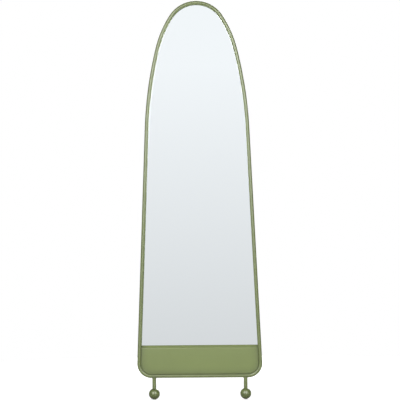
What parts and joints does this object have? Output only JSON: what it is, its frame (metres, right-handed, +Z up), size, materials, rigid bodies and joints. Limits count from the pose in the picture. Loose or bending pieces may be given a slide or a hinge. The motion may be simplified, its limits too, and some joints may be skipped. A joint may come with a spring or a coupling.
{
  "type": "wall mirror",
  "caption": "Tall wall mirror with an arched top and flared sides in a round steel tube frame, with a sheet-steel apron below the glass and ball feet on short stems.",
  "frame": {"origin": "middle of the hanging rail's rear face, the face that meets the wall, so the wall is the plane y = 0", "axes": "+Z up along the mirror, +X to the viewer's right, +Y into the wall; the glass faces -Y"},
  "size_m": [0.5018, 0.0458, 1.6],
  "materials": {
    "sage_coat": "satin sage-green powder coat",
    "silvered_glass": "clear silvered float glass",
    "foam_tape": "closed-cell foam mounting tape",
    "black_board": "fibreboard with a matt black face",
    "zinc_plate": "bright zinc plate",
    "black_rubber": "matt moulded rubber",
    "grey_felt": "pressed felt"
  },
  "bodies": {
    "root": {"frame_tube": "sage_coat", "frame_rim": "sage_coat", "lower_panel": "sage_coat", "glass_ledge": "sage_coat", "mirror_glass": "silvered_glass", "glass_tape_left": "foam_tape", "glass_tape_middle": "foam_tape", "glass_tape_right": "foam_tape", "back_board": "black_board", "board_tab_01": "sage_coat", "board_tab_02": "sage_coat", "board_tab_03": "sage_coat", "board_tab_04": "sage_coat", "board_tab_05": "sage_coat", "board_tab_06": "sage_coat", "board_tab_07": "sage_coat", "board_tab_08": "sage_coat", "board_tab_09": "sage_coat", "board_tab_10": "sage_coat", "board_tab_11": "sage_coat", "board_tab_12": "sage_coat", "tab_screw_01": "zinc_plate", "tab_screw_02": "zinc_plate", "tab_screw_03": "zinc_plate", "tab_screw_04": "zinc_plate", "tab_screw_05": "zinc_plate", "tab_screw_06": "zinc_plate", "tab_screw_07": "zinc_plate", "tab_screw_08": "zinc_plate", "tab_screw_09": "zinc_plate", "tab_screw_10": "zinc_plate", "tab_screw_11": "zinc_plate", "tab_screw_12": "zinc_plate", "hanging_rail": "sage_coat", "wall_bumper_upper_left": "black_rubber", "wall_bumper_upper_right": "black_rubber", "wall_bumper_lower_left": "black_rubber", "wall_bumper_lower_right": "black_rubber", "foot_stem_left": "sage_coat", "foot_stem_right": "sage_coat", "foot_ball_left": "sage_coat", "foot_ball_right": "sage_coat", "foot_stud_left": "zinc_plate", "foot_stud_right": "zinc_plate", "floor_pad_left": "grey_felt", "floor_pad_right": "grey_felt"}
  },
  "joints": []
}
